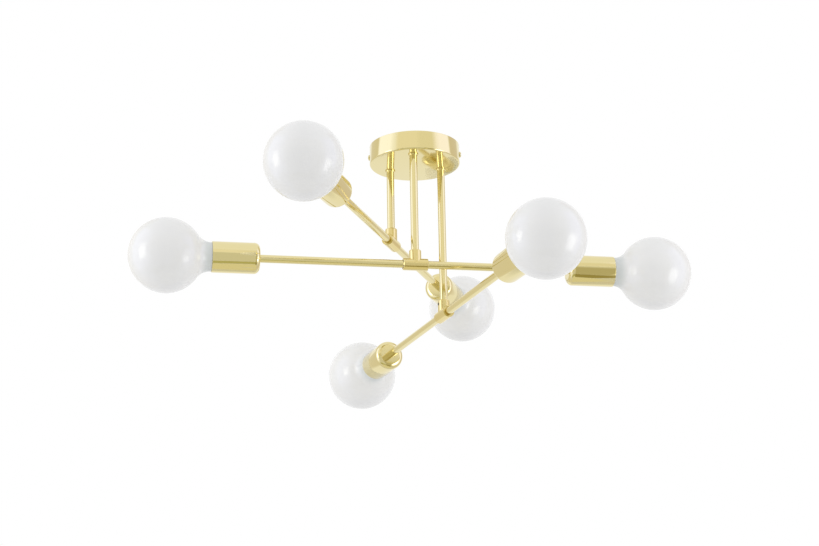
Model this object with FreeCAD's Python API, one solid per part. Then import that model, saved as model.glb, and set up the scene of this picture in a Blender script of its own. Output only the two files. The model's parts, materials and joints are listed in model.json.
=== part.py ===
import FreeCAD, Part
import math
import os

# A ceiling light: a round canopy, three stems, and a straight bar with two globe bulbs on each stem.
# Millimetres, +Z up. The origin is the centre of the bracket's ceiling face, so the light hangs below it.
# +X runs along the ceiling bracket. The stem that carries the middle bar stands on -Y.

os.makedirs("parts", exist_ok=True)

# Shared values
thread_fit = 0.05
overrun = 1.0
running_gap = 0.3

# Canopy and ceiling bracket
canopy_diameter = 118.0
canopy_wall = 1.2
canopy_edge_radius = 2.0
wiring_room = 10.0
bracket_width = 20.0
bracket_thickness = 1.5
bracket_bend_radius = 3.0
bracket_tab_margin = 5.0
bracket_corner_gap = 0.3
fixing_slot_spacing = 70.0
fixing_slot_length = 14.0
fixing_slot_width = 5.0

# Pan-head screws of the canopy and of the bracket
screw_diameter = 4.0
screw_length = 8.0
screw_head_diameter = 7.5
screw_head_height = 2.4
screw_slot_width = 1.0
screw_slot_depth = 1.1

# Terminal block and wires
pole_pitch = 10.0
pole_count = 3
block_depth = 16.0
block_height = 12.3
tower_width = 7.0
pole_bore = 4.0
pole_wall = 0.5
terminal_sleeve_bore = 2.9
terminal_sleeve_inset = 0.5
clamp_screw_diameter = 2.5
clamp_screw_sink = 1.5
clamp_slot_width = 0.6
clamp_slot_depth = 1.0
wire_diameter = 2.2
wire_bend_radius = 3.5
wire_lane_pitch = 2.6
earth_wire_drop = 1.5
inner_lane_offset = 9.0
outer_lane_offset = 12.0
wire_spread = 2.6
earth_ring_diameter = 8.5
earth_ring_thickness = 0.8

# Stems
stem_diameter = 10.0
stem_bore = 7.0
stem_edge_margin = 20.5
stem_stub = 1.5
stem_end_gap = 1.5
stem_nut_width = 14.0
stem_nut_height = 4.0
stem_nut_flange = 1.5
stem_nut_flange_diameter = 18.0
collar_rim = 1.5
collar_thickness = 2.0

# Tees, which swivel on the stems
tee_wall = 2.8
tee_collar_height = 11.0
tee_collar_round = 1.6
sleeve_length = 32.0
sleeve_edge = 0.5
sleeve_recess_depth = 1.5
sleeve_recess_gap = 1.3
swivel_clearance = 0.08
set_screw_diameter = 4.0
set_screw_sink = 0.3
set_screw_socket = 2.0
set_screw_socket_depth = 1.2
dog_diameter = 2.6
groove_depth = 0.7
groove_clearance = 0.2
dog_tip_clearance = 0.08

# Arms
arm_diameter = 10.0
arm_bore = 7.0
arm_reach = 198.3
spigot_diameter = 8.0
spigot_bore = 5.2

# Lampholders and cups
cup_wall = 1.0
cup_back_radius = 7.0
cup_mouth_inset = 7.0
cup_side_gap = 2.7
cup_nut_width = 13.0
cup_nut_height = 4.0
holder_nut_gap = 0.3
holder_base_length = 16.0
holder_base_step = 2.0
holder_taper_length = 3.0
holder_wall = 2.2
holder_lip = 1.0
holder_floor = 3.0
spigot_engagement = 6.0
wire_chamber_diameter = 14.0
shell_wall = 0.4
shell_flange = 1.0
contact_height = 4.4
contact_rivet_diameter = 3.0
contact_head_diameter = 6.0

# Bulbs
globe_diameter = 95.0
globe_wall = 0.8
neck_standoff = 1.2
neck_blend_radius = 20.0
neck_entry = 1.5
neck_taper_round = 2.0
cap_diameter = 26.1
cap_length = 27.0
cap_wall = 0.5
cap_thread_pitch = 3.6
cap_thread_depth = 0.9
cap_thread_count = 5
cap_rim_length = 3.0
cap_tip_diameter = 9.5
cap_tip_height = 1.5
glass_tail_length = 8.0

# The three bars: drop of the bar's axis below the canopy, angles of the stem and of the bar from +X
levels = {
    "upper": {"drop": 100.0, "stem_angle": 150.0, "bar_angle": 74.6, "ends": ("front", "back")},
    "middle": {"drop": 150.0, "stem_angle": -90.0, "bar_angle": 12.8, "ends": ("left", "right")},
    "lower": {"drop": 200.0, "stem_angle": 30.0, "bar_angle": 114.0, "ends": ("front", "back")},
}

# Sizes that follow from the ones above
canopy_height = bracket_thickness + block_height + wiring_room + canopy_wall
canopy_radius = canopy_diameter / 2
canopy_floor = canopy_wall - canopy_height
canopy_inner_radius = canopy_radius - canopy_wall
side_screw_height = -canopy_height / 2
tab_reach = math.sqrt(canopy_inner_radius ** 2 - (bracket_width / 2) ** 2) - bracket_corner_gap
block_length = pole_pitch * pole_count
block_bottom = -bracket_thickness - block_height
block_screw_place = pole_pitch / 2
block_screw_seat = -screw_length
pole_height = block_screw_seat + pole_bore / 2 + pole_wall
slot_inner_end = fixing_slot_spacing / 2 - fixing_slot_length / 2
earth_screw_place = (block_length / 2 + slot_inner_end) / 2
stem_radius = stem_diameter / 2
stem_circle_radius = canopy_radius - stem_edge_margin
wire_radius = wire_diameter / 2
stem_top = canopy_floor + stem_nut_flange + stem_nut_height + stem_stub
arm_radius = arm_diameter / 2
sleeve_radius = arm_radius + tee_wall
stem_foot = arm_radius + stem_end_gap
tee_collar_radius = stem_radius + tee_wall
tee_collar_top = sleeve_radius + tee_collar_height
set_screw_height = sleeve_radius + tee_collar_height / 2
arm_inner_end = stem_bore / 2
cap_radius = cap_diameter / 2
shell_inner_radius = cap_radius + running_gap
shell_outer_radius = shell_inner_radius + shell_wall
holder_bore_radius = shell_outer_radius + thread_fit
holder_radius = holder_bore_radius + holder_wall
cup_inner_radius = holder_radius + cup_side_gap
cup_radius = cup_inner_radius + cup_wall
neck_radius = cup_inner_radius - running_gap
nut_end = cup_wall + cup_nut_height
holder_start = nut_end + holder_nut_gap
socket_floor = holder_start + holder_base_length
contact_top = socket_floor + contact_height
cap_tip = contact_top + running_gap
cap_rim = cap_tip + cap_length
holder_mouth = cap_rim + holder_lip
cup_length = cap_rim + cup_mouth_inset
spigot_length = holder_start + spigot_engagement
globe_radius = globe_diameter / 2
neck_blend_offset = neck_radius + neck_blend_radius
neck_blend_reach = math.sqrt((globe_radius + neck_blend_radius) ** 2 - neck_blend_offset ** 2)
neck_blend_centre = cup_length + neck_standoff
globe_centre = neck_blend_centre + neck_blend_reach


def at(along, radius):
    """Point of a turned piece's outline: its place along the axis and its distance from it."""
    return FreeCAD.Vector(along, 0, radius)


def turned(start, steps):
    """Solid turned about the X axis. A step is an end point, or the mid point and end point of an arc."""
    edges = []
    here = start
    for step in steps + [start]:
        if isinstance(step, tuple):
            edges.append(Part.Arc(here, step[0], step[1]).toShape())
            here = step[1]
        else:
            edges.append(Part.makeLine(here, step))
            here = step
    face = Part.Face(Part.Wire(edges))
    return face.revolve(FreeCAD.Vector(0, 0, 0), FreeCAD.Vector(1, 0, 0), 360)


def corner(centre_along, centre_radius, arc_radius, first_angle, last_angle):
    """Arc step of an outline about a centre, from one angle to another, in degrees from the axis."""
    points = []
    for angle in ((first_angle + last_angle) / 2, last_angle):
        turn = math.radians(angle)
        along = centre_along + arc_radius * math.cos(turn)
        points.append(at(along, centre_radius + arc_radius * math.sin(turn)))
    return tuple(points)


def upright(shape):
    """The same shape with its X axis turned to +Z."""
    placed = shape.copy()
    placed.rotate(FreeCAD.Vector(0, 0, 0), FreeCAD.Vector(0, 1, 0), -90)
    return placed


def moved(shape, x=0, y=0, z=0, angle=0):
    """A copy turned about the Z axis and then shifted."""
    placed = shape.copy()
    placed.rotate(FreeCAD.Vector(0, 0, 0), FreeCAD.Vector(0, 0, 1), angle)
    placed.translate(FreeCAD.Vector(x, y, z))
    return placed


def rod(start_along, end_along, radius):
    """Solid cylinder along the X axis."""
    base = FreeCAD.Vector(start_along, 0, 0)
    return Part.makeCylinder(radius, end_along - start_along, base, FreeCAD.Vector(1, 0, 0))


def box_between(low, high):
    """Box from its lowest corner to its highest one."""
    size = high - low
    return Part.makeBox(size.x, size.y, size.z, low)


def hexagon_bar(width, length):
    """Hexagonal bar along the X axis, from zero, with its edges chamfered at both ends."""
    corner_radius = width / math.sqrt(3)
    chamfer = corner_radius - width / 2
    points = []
    for side in range(7):
        turn = math.radians(60 * side)
        points.append(FreeCAD.Vector(0, corner_radius * math.cos(turn), corner_radius * math.sin(turn)))
    prism = Part.Face(Part.makePolygon(points)).extrude(FreeCAD.Vector(length, 0, 0))
    cone_drop = chamfer / 2
    barrel = turned(at(0, 0), [
        at(0, width / 2),
        at(cone_drop, corner_radius),
        at(length - cone_drop, corner_radius),
        at(length, width / 2),
        at(length, 0),
    ])
    return prism.common(barrel)


def wire_run(points, radius):
    """Round wire along straight runs that tangent arcs of one bend radius join."""
    edges = []
    here = points[0]
    for before, point, after in zip(points, points[1:], points[2:]):
        into = (point - before).normalize()
        out = (after - point).normalize()
        turn = math.acos(max(-1, min(1, into.dot(out))))
        setback = wire_bend_radius * math.tan(turn / 2)
        arc_start = point - into * setback
        arc_end = point + out * setback
        centre = arc_start + (out - into * into.dot(out)).normalize() * wire_bend_radius
        middle = centre + (point - centre).normalize() * wire_bend_radius
        edges.append(Part.makeLine(here, arc_start))
        edges.append(Part.Arc(arc_start, middle, arc_end).toShape())
        here = arc_end
    edges.append(Part.makeLine(here, points[-1]))
    path = Part.Wire(edges)
    profile = Part.Wire(Part.makeCircle(radius, points[0], (points[1] - points[0])))
    return path.makePipeShell([profile], True, False)


def pan_head_screw(length):
    """Screw along X: the domed head lies past the origin, and the shank goes to -X."""
    head_radius = screw_head_diameter / 2
    shank_radius = screw_diameter / 2
    edge = screw_head_height / 2
    dome_radius = (head_radius ** 2 + (screw_head_height - edge) ** 2) / (2 * (screw_head_height - edge))
    dome_centre = screw_head_height - dome_radius
    half_turn = math.degrees(math.asin(head_radius / dome_radius))
    screw = turned(at(-length, 0), [
        at(-length, shank_radius),
        at(0, shank_radius),
        at(0, head_radius),
        at(edge, head_radius),
        corner(dome_centre, 0, dome_radius, half_turn, 0),
    ])
    half_slot = screw_slot_width / 2
    slot_low = FreeCAD.Vector(screw_head_height - screw_slot_depth, -screw_head_diameter, -half_slot)
    slot_high = FreeCAD.Vector(screw_head_height + overrun, screw_head_diameter, half_slot)
    return screw.cut(box_between(slot_low, slot_high))


# Where the stems stand, and each bar's height
def stem_place(level):
    turn = math.radians(levels[level]["stem_angle"])
    return FreeCAD.Vector(stem_circle_radius * math.cos(turn), stem_circle_radius * math.sin(turn), 0)


def bar_height(level):
    return -canopy_height - levels[level]["drop"]


def on_level(shape, level, end_index=1):
    """Place a piece that was made about a tee along +X. The first end of a bar points the other way."""
    place = stem_place(level)
    angle = levels[level]["bar_angle"] + 180 * (end_index - 1)
    return moved(shape, place.x, place.y, bar_height(level), angle)


def on_cup(shape):
    """Shift a piece that was made from the cup's back face out to the end of the arm."""
    return moved(shape, arm_reach)


# Canopy: a spun metal dish, open to the ceiling
def make_canopy():
    edge_centre = canopy_radius - canopy_edge_radius
    edge_height = canopy_edge_radius - canopy_height
    inner_edge = canopy_edge_radius - canopy_wall
    dish = upright(turned(at(-canopy_height, 0), [
        at(-canopy_height, edge_centre),
        corner(edge_height, edge_centre, canopy_edge_radius, 180, 90),
        at(0, canopy_radius),
        at(0, canopy_inner_radius),
        at(edge_height, canopy_inner_radius),
        corner(edge_height, edge_centre, inner_edge, 90, 180),
        at(canopy_floor, 0),
    ]))
    for level in levels:
        place = stem_place(level)
        start = FreeCAD.Vector(place.x, place.y, -canopy_height - overrun)
        hole_length = canopy_wall + 2 * overrun
        dish = dish.cut(Part.makeCylinder(stem_radius + thread_fit, hole_length, start))
    side_hole = rod(-canopy_diameter, canopy_diameter, screw_diameter / 2 + thread_fit)
    return dish.cut(moved(side_hole, z=side_screw_height))


# Ceiling bracket: a steel strip with its ends bent down, slotted for the ceiling screws
def make_ceiling_bracket():
    tab_bottom = side_screw_height - bracket_tab_margin
    half_width = bracket_width / 2
    inner_reach = tab_reach - bracket_thickness
    outer = box_between(
        FreeCAD.Vector(-tab_reach, -half_width, tab_bottom),
        FreeCAD.Vector(tab_reach, half_width, 0))
    inner = box_between(
        FreeCAD.Vector(-inner_reach, -bracket_width, tab_bottom - overrun),
        FreeCAD.Vector(inner_reach, bracket_width, -bracket_thickness))
    outer = outer.makeFillet(bracket_bend_radius, edges_along_y(outer, tab_reach, 0))
    inner_radius = bracket_bend_radius - bracket_thickness
    inner = inner.makeFillet(inner_radius, edges_along_y(inner, inner_reach, -bracket_thickness))
    bracket = outer.cut(inner)
    for side in (-1, 1):
        bracket = bracket.cut(fixing_slot(side * fixing_slot_spacing / 2))
    thread_radius = screw_diameter / 2 + thread_fit
    for place in (block_screw_place, earth_screw_place):
        start = FreeCAD.Vector(place, 0, -bracket_thickness - overrun)
        bracket = bracket.cut(Part.makeCylinder(thread_radius, bracket_thickness + 2 * overrun, start))
    side_hole = rod(-canopy_diameter, canopy_diameter, thread_radius)
    return bracket.cut(moved(side_hole, z=side_screw_height))


def edges_along_y(box, reach, height):
    """The two edges of a box that run along Y at the given distance from the middle and height."""
    found = []
    for edge in box.Edges:
        middle = edge.CenterOfMass
        ends = edge.Vertexes[0].Point.y * edge.Vertexes[-1].Point.y
        if abs(abs(middle.x) - reach) < thread_fit and abs(middle.z - height) < thread_fit and ends < 0:
            found.append(edge)
    return found


def fixing_slot(centre):
    radius = fixing_slot_width / 2
    half_run = fixing_slot_length / 2 - radius
    low = -bracket_thickness - overrun
    depth = bracket_thickness + 2 * overrun
    slot = box_between(
        FreeCAD.Vector(centre - half_run, -radius, low),
        FreeCAD.Vector(centre + half_run, radius, low + depth))
    for end in (-half_run, half_run):
        slot = slot.fuse(Part.makeCylinder(radius, depth, FreeCAD.Vector(centre + end, 0, low)))
    return slot


def make_canopy_screws():
    screws = []
    for angle in (0, 180):
        screw = moved(pan_head_screw(screw_length), canopy_radius, 0, side_screw_height)
        screws.append(moved(screw, angle=angle))
    return Part.makeCompound(screws)


# Bracket screws: one holds the terminal block, and a short one clamps the earth ring
def make_bracket_screws():
    earth_seat = -bracket_thickness - earth_ring_thickness
    screws = []
    for place, seat in ((block_screw_place, block_screw_seat), (earth_screw_place, earth_seat)):
        screw = upright(pan_head_screw(-seat))
        screw.rotate(FreeCAD.Vector(0, 0, 0), FreeCAD.Vector(1, 0, 0), 180)
        screws.append(moved(screw, place, 0, seat))
    return Part.makeCompound(screws)


def pole_places():
    return [pole_pitch * (index - (pole_count - 1) / 2) for index in range(pole_count)]


# Terminal block: a moulded strip with a tower round each pole, screwed up to the bracket
def make_terminal_block():
    half_depth = block_depth / 2
    block = box_between(
        FreeCAD.Vector(-block_length / 2, -half_depth, block_screw_seat),
        FreeCAD.Vector(block_length / 2, half_depth, -bracket_thickness))
    for pole in pole_places():
        block = block.fuse(box_between(
            FreeCAD.Vector(pole - tower_width / 2, -half_depth, block_bottom),
            FreeCAD.Vector(pole + tower_width / 2, half_depth, block_screw_seat)))
    well_radius = clamp_screw_diameter / 2 + thread_fit
    for pole in pole_places():
        start = FreeCAD.Vector(pole, -half_depth - overrun, pole_height)
        run = block_depth + 2 * overrun
        block = block.cut(Part.makeCylinder(pole_bore / 2, run, start, FreeCAD.Vector(0, 1, 0)))
        for side in (-1, 1):
            start = FreeCAD.Vector(pole, side * half_depth / 2, block_bottom - overrun)
            block = block.cut(Part.makeCylinder(well_radius, pole_height - start.z, start))
    start = FreeCAD.Vector(block_screw_place, 0, block_bottom - overrun)
    head_radius = screw_head_diameter / 2 + running_gap
    block = block.cut(Part.makeCylinder(head_radius, block_screw_seat - start.z, start))
    block = block.cut(Part.makeCylinder(screw_diameter / 2 + thread_fit, overrun - start.z, start))
    return block.removeSplitter()


# Terminal sleeves: a brass tube in each pole, with a threaded hole for each clamp screw
def make_terminal_sleeves():
    reach = block_depth / 2 - terminal_sleeve_inset
    sleeve = rod(-reach, reach, pole_bore / 2 - thread_fit)
    sleeve = sleeve.cut(rod(-block_depth, block_depth, terminal_sleeve_bore / 2))
    for side in (-1, 1):
        start = FreeCAD.Vector(side * block_depth / 4, 0, -pole_bore)
        sleeve = sleeve.cut(Part.makeCylinder(clamp_screw_diameter / 2 + thread_fit, pole_bore, start))
    return Part.makeCompound([moved(sleeve, pole, 0, pole_height, 90) for pole in pole_places()])


def make_terminal_screws():
    radius = clamp_screw_diameter / 2
    head = block_bottom + clamp_screw_sink
    tip = pole_height - terminal_sleeve_bore / 2
    screws = []
    for pole in pole_places():
        for side in (-1, 1):
            screw = upright(rod(head, tip, radius))
            slot = box_between(
                FreeCAD.Vector(-clamp_screw_diameter, -clamp_slot_width / 2, head - overrun),
                FreeCAD.Vector(clamp_screw_diameter, clamp_slot_width / 2, head + clamp_slot_depth))
            screws.append(moved(screw.cut(slot), pole, side * block_depth / 4))
    return Part.makeCompound(screws)


# Wires: one live and one neutral core from the terminal block down each stem
def core_points(level, side):
    place = stem_place(level)
    pole = side * (block_length - pole_pitch) / 2
    face = -block_depth / 2
    height = pole_height - wire_lane_pitch * list(levels).index(level)
    foot = bar_height(level) + wire_radius + running_gap
    if abs(place.x) < block_length / 2:
        riser = place.x + side * wire_spread / 2
        bends = [(pole, place.y + (face - place.y) / 2)]
    else:
        stem_side = math.copysign(1, place.x)
        riser = place.x - side * wire_spread / 2
        if side != stem_side:
            riser = place.x + stem_side * wire_spread / 2
        lane = face - (inner_lane_offset if side == stem_side else outer_lane_offset)
        bends = [(riser, lane), (pole, lane)]
    points = [FreeCAD.Vector(riser, place.y, foot), FreeCAD.Vector(riser, place.y, height)]
    for x, y in bends:
        points.append(FreeCAD.Vector(x, y, height))
    points.append(FreeCAD.Vector(pole, face, height))
    return points


def make_core_wires(side):
    return Part.makeCompound([wire_run(core_points(level, side), wire_radius) for level in levels])


def make_earth_wire():
    height = -bracket_thickness - earth_wire_drop
    lane = -block_depth / 2 - wire_bend_radius - wire_diameter
    ring_radius = earth_ring_diameter / 2
    wire = wire_run([
        FreeCAD.Vector(0, -block_depth / 2, height),
        FreeCAD.Vector(0, lane, height),
        FreeCAD.Vector(earth_screw_place, lane, height),
        FreeCAD.Vector(earth_screw_place, -ring_radius, height),
    ], wire_radius)
    ring = rod(-bracket_thickness - earth_ring_thickness, -bracket_thickness, ring_radius)
    hole = rod(-canopy_height, 0, screw_diameter / 2 + thread_fit)
    return Part.makeCompound([wire, moved(upright(ring.cut(hole)), earth_screw_place)])


# Stems: brass tubes, threaded at the top, with a groove near the foot for the tee's set screw
def make_stem(level):
    place = stem_place(level)
    bar = bar_height(level)
    groove = bar + set_screw_height
    half_groove = dog_diameter / 2 + groove_clearance
    groove_radius = stem_radius - groove_depth
    tube = upright(turned(at(bar + stem_foot, stem_bore / 2), [
        at(bar + stem_foot, stem_radius),
        at(groove - half_groove, stem_radius),
        at(groove - half_groove, groove_radius),
        at(groove + half_groove, groove_radius),
        at(groove + half_groove, stem_radius),
        at(stem_top, stem_radius),
        at(stem_top, stem_bore / 2),
    ]))
    return moved(tube, place.x, place.y)


# Stem collars: thin round nuts that show under the canopy
def make_stem_collars():
    inner = stem_radius + thread_fit
    outer = stem_radius + collar_rim
    edge = collar_thickness / 4
    collar = upright(turned(at(-collar_thickness, inner), [
        at(-collar_thickness, outer - edge),
        corner(edge - collar_thickness, outer - edge, edge, 180, 90),
        at(0, outer),
        at(0, inner),
    ]))
    return at_each_stem(collar, -canopy_height)


# Flange nuts: they clamp the stems to the canopy from inside
def make_stem_nuts():
    hexagon = moved(hexagon_bar(stem_nut_width, stem_nut_height), stem_nut_flange)
    nut = rod(0, stem_nut_flange, stem_nut_flange_diameter / 2).fuse(hexagon)
    bore = rod(-overrun, stem_nut_flange + stem_nut_height + overrun, stem_radius + thread_fit)
    return at_each_stem(upright(nut.cut(bore).removeSplitter()), canopy_floor)


def at_each_stem(shape, height):
    copies = []
    for level in levels:
        place = stem_place(level)
        copies.append(moved(shape, place.x, place.y, height))
    return Part.makeCompound(copies)


# Tee: an upright collar that turns on the stem, and a crosswise sleeve that holds both arms
def make_tee():
    round_start = tee_collar_top - tee_collar_round
    collar = upright(turned(at(0, 0), [
        at(0, tee_collar_radius),
        at(round_start, tee_collar_radius),
        corner(round_start, tee_collar_radius - tee_collar_round, tee_collar_round, 90, 0),
        at(tee_collar_top, 0),
    ]))
    half_length = sleeve_length / 2
    sleeve = turned(at(-half_length, 0), [
        at(-half_length, sleeve_radius - sleeve_edge),
        at(sleeve_edge - half_length, sleeve_radius),
        at(half_length - sleeve_edge, sleeve_radius),
        at(half_length, sleeve_radius - sleeve_edge),
        at(half_length, 0),
    ])
    tee = collar.fuse(sleeve)
    tee = tee.cut(rod(-half_length - overrun, half_length + overrun, arm_radius + thread_fit))
    recess_radius = arm_radius + sleeve_recess_gap
    tee = tee.cut(rod(-half_length - overrun, sleeve_recess_depth - half_length, recess_radius))
    tee = tee.cut(rod(half_length - sleeve_recess_depth, half_length + overrun, recess_radius))
    tee = tee.cut(upright(rod(0, tee_collar_top + overrun, stem_radius + swivel_clearance)))
    screw_hole = upright(rod(0, tee_collar_radius + overrun, set_screw_diameter / 2 + thread_fit))
    screw_hole.rotate(FreeCAD.Vector(0, 0, 0), FreeCAD.Vector(1, 0, 0), -90)
    return tee.cut(moved(screw_hole, z=set_screw_height)).removeSplitter()


# Set screw: its dog point runs in the stem's groove, which carries the tee and lets it swivel
def make_set_screw():
    tip = stem_radius - groove_depth + dog_tip_clearance
    shoulder = stem_radius + 2 * swivel_clearance
    head = tee_collar_radius - set_screw_sink
    screw = turned(at(tip, 0), [
        at(tip, dog_diameter / 2),
        at(shoulder, dog_diameter / 2),
        at(shoulder, set_screw_diameter / 2),
        at(head, set_screw_diameter / 2),
        at(head, 0),
    ])
    socket = hexagon_bar(set_screw_socket, set_screw_socket_depth + overrun)
    screw = screw.cut(moved(socket, head - set_screw_socket_depth))
    return moved(screw, z=set_screw_height, angle=90)


# Arm: a brass tube with a thinner threaded spigot that passes through the cup
def make_arm():
    spigot_end = arm_reach + spigot_length
    return turned(at(arm_inner_end, arm_bore / 2), [
        at(arm_inner_end, arm_radius),
        at(arm_reach, arm_radius),
        at(arm_reach, spigot_diameter / 2),
        at(spigot_end, spigot_diameter / 2),
        at(spigot_end, spigot_bore / 2),
        at(arm_reach - arm_diameter / 2, spigot_bore / 2),
        at(arm_reach - arm_diameter / 2, arm_bore / 2),
    ])


# Arm wires: two cores through the bar, from one lampholder to the other
def make_arm_wires():
    reach = arm_reach + spigot_length + wire_diameter
    cores = [moved(rod(-reach, reach, wire_radius), y=side * wire_spread / 2) for side in (-1, 1)]
    return Part.makeCompound(cores)


# Cup: a spun brass cover with a rounded back, clamped against the arm's shoulder
def make_cup():
    hole_radius = spigot_diameter / 2 + thread_fit
    back_centre = cup_radius - cup_back_radius
    lip = cup_wall / 2
    return on_cup(turned(at(0, hole_radius), [
        at(0, back_centre),
        corner(cup_back_radius, back_centre, cup_back_radius, 180, 90),
        at(cup_length - lip, cup_radius),
        corner(cup_length - lip, cup_radius - lip, lip, 90, -90),
        at(cup_back_radius, cup_inner_radius),
        corner(cup_back_radius, back_centre, cup_back_radius - cup_wall, 90, 180),
        at(cup_wall, hole_radius),
    ]))


def make_cup_nut():
    nut = hexagon_bar(cup_nut_width, cup_nut_height)
    bore = rod(-overrun, cup_nut_height + overrun, spigot_diameter / 2 + thread_fit)
    return on_cup(moved(nut.cut(bore), cup_wall))


# Lampholder: a glazed ceramic body, screwed onto the spigot, with a socket for the bulb's cap
def make_lampholder():
    base_radius = holder_radius - holder_base_step
    thread_radius = spigot_diameter / 2 + thread_fit
    thread_end = holder_start + spigot_engagement
    chamber_radius = wire_chamber_diameter / 2
    taper_end = socket_floor + holder_taper_length
    rivet_radius = contact_rivet_diameter / 2 + thread_fit
    edge = holder_wall / 2
    return on_cup(turned(at(holder_start, thread_radius), [
        at(holder_start, base_radius - edge),
        at(holder_start + edge, base_radius),
        at(socket_floor, base_radius),
        at(taper_end, holder_radius),
        at(holder_mouth - edge, holder_radius),
        corner(holder_mouth - edge, holder_radius - edge, edge, 90, 0),
        at(holder_mouth, holder_bore_radius),
        at(socket_floor, holder_bore_radius),
        at(socket_floor, rivet_radius),
        at(socket_floor - holder_floor, rivet_radius),
        at(socket_floor - holder_floor, chamber_radius),
        at(thread_end, chamber_radius),
        at(thread_end, thread_radius),
    ]))


# Holder contacts: the threaded shell that lines the socket, and the riveted centre contact
def make_holder_contacts():
    shell_start = socket_floor + shell_flange
    shell = rod(shell_start, holder_mouth, shell_outer_radius)
    shell = shell.cut(rod(shell_start - overrun, holder_mouth + overrun, shell_inner_radius))
    rivet_start = socket_floor - holder_floor - shell_flange
    rivet = contact_rivet_diameter / 2
    dome = contact_head_diameter / 2
    centre_contact = turned(at(rivet_start, 0), [
        at(rivet_start, rivet),
        at(socket_floor, rivet),
        at(socket_floor, dome),
        at(contact_top - dome / 2, dome),
        at(contact_top, dome / 2),
        at(contact_top, 0),
    ])
    return Part.makeCompound([on_cup(shell), on_cup(centre_contact)])


# Globe: one blown opal glass shell. Its neck flares from the cup and narrows inside it into the screw cap
def make_globe():
    blend_angle = math.degrees(math.atan2(neck_blend_offset, -neck_blend_reach))
    tail_radius = cap_radius - cap_wall - cap_thread_depth - thread_fit
    taper_radius = neck_radius - neck_taper_round
    taper_start = cup_length - neck_entry
    round_centre = taper_start + neck_taper_round
    tail_end = cap_rim - glass_tail_length
    inner_globe = globe_radius - globe_wall
    inner_blend = neck_blend_radius + globe_wall
    return on_cup(turned(at(globe_centre + globe_radius, 0), [
        corner(globe_centre, 0, globe_radius, 0, blend_angle),
        corner(neck_blend_centre, neck_blend_offset, neck_blend_radius, blend_angle - 180, -90),
        at(round_centre, neck_radius),
        corner(round_centre, taper_radius, neck_taper_round, 90, 180),
        at(cap_rim, tail_radius),
        at(tail_end, tail_radius),
        at(tail_end, tail_radius - globe_wall),
        at(cap_rim, tail_radius - globe_wall),
        at(taper_start + globe_wall, taper_radius),
        corner(round_centre, taper_radius, neck_taper_round - globe_wall, 180, 90),
        at(neck_blend_centre, neck_radius - globe_wall),
        corner(neck_blend_centre, neck_blend_offset, inner_blend, -90, blend_angle - 180),
        corner(globe_centre, 0, inner_globe, blend_angle, 0),
    ]))


# Screw cap of a bulb: a rolled metal shell with round threads, closed by the contact's cone
def make_screw_cap():
    root_radius = cap_radius - cap_thread_depth
    rim_end = cap_rim - cap_rim_length
    outline = [at(cap_rim, root_radius), at(rim_end, root_radius)]
    for thread in range(cap_thread_count):
        start = rim_end - thread * cap_thread_pitch
        crest = at(start - cap_thread_pitch / 2, cap_radius)
        outline.append((crest, at(start - cap_thread_pitch, root_radius)))
    thread_end = rim_end - cap_thread_count * cap_thread_pitch
    cone_end = cap_tip + cap_tip_height
    inner_radius = root_radius - cap_wall
    outline += [
        at(cone_end, cap_tip_diameter / 2),
        at(cap_tip, cap_tip_diameter / 2 - cap_tip_height),
        at(cap_tip, 0),
        at(thread_end, 0),
        at(thread_end, inner_radius),
    ]
    return on_cup(turned(at(cap_rim, inner_radius), outline))


def save(node, shape):
    shape.exportStep("parts/" + node + ".step")


save("canopy", make_canopy())
save("ceiling_bracket", make_ceiling_bracket())
save("canopy_screws", make_canopy_screws())
save("bracket_screws", make_bracket_screws())
save("terminal_block", make_terminal_block())
save("terminal_sleeves", make_terminal_sleeves())
save("terminal_screws", make_terminal_screws())
save("live_wires", make_core_wires(-1))
save("neutral_wires", make_core_wires(1))
save("earth_wire", make_earth_wire())
save("stem_collars", make_stem_collars())
save("stem_nuts", make_stem_nuts())

one_end = {
    "arm": make_arm(),
    "cup": make_cup(),
    "lampholder": make_lampholder(),
    "globe": make_globe(),
    "screw_cap": make_screw_cap(),
}
both_ends = {"cup_nuts": make_cup_nut(), "holder_contacts": make_holder_contacts()}
tee = make_tee()
set_screw = make_set_screw()
arm_wires = make_arm_wires()
for level in levels:
    save(level + "_stem", make_stem(level))
    save(level + "_tee", on_level(tee, level))
    save(level + "_set_screw", on_level(set_screw, level))
    save(level + "_arm_wires", on_level(arm_wires, level))
    for name, shape in both_ends.items():
        pair = [on_level(shape, level, end_index) for end_index in (0, 1)]
        save(level + "_" + name, Part.makeCompound(pair))
    for end_index, end in enumerate(levels[level]["ends"]):
        for name, shape in one_end.items():
            save(level + "_" + end + "_" + name, on_level(shape, level, end_index))
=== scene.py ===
import json
import math

import bmesh
import bpy
from mathutils import Matrix, Vector


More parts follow.
